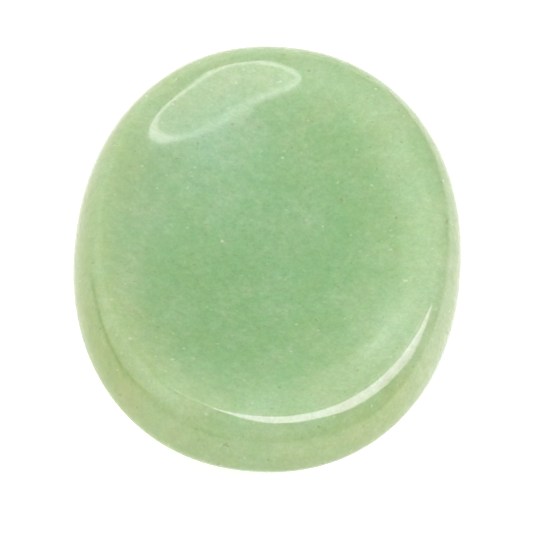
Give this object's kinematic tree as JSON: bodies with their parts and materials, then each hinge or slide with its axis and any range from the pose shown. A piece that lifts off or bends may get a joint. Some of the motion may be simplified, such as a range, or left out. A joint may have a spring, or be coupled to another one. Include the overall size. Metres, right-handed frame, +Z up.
{
  "type": "worry stone",
  "caption": "Oval polished pebble of pale green aventurine with a shallow thumb hollow in its top and a gently domed underside with a flat rest spot.",
  "frame": {"origin": "middle of the flat spot on the underside that the stone rests on", "axes": "+Z up through the thumb hollow, +Y along the oval's long axis, +X across it"},
  "size_m": [0.035, 0.045, 0.0072],
  "materials": {
    "green_aventurine": "polished"
  },
  "bodies": {
    "root": {"worry_stone": "green_aventurine"}
  },
  "joints": []
}
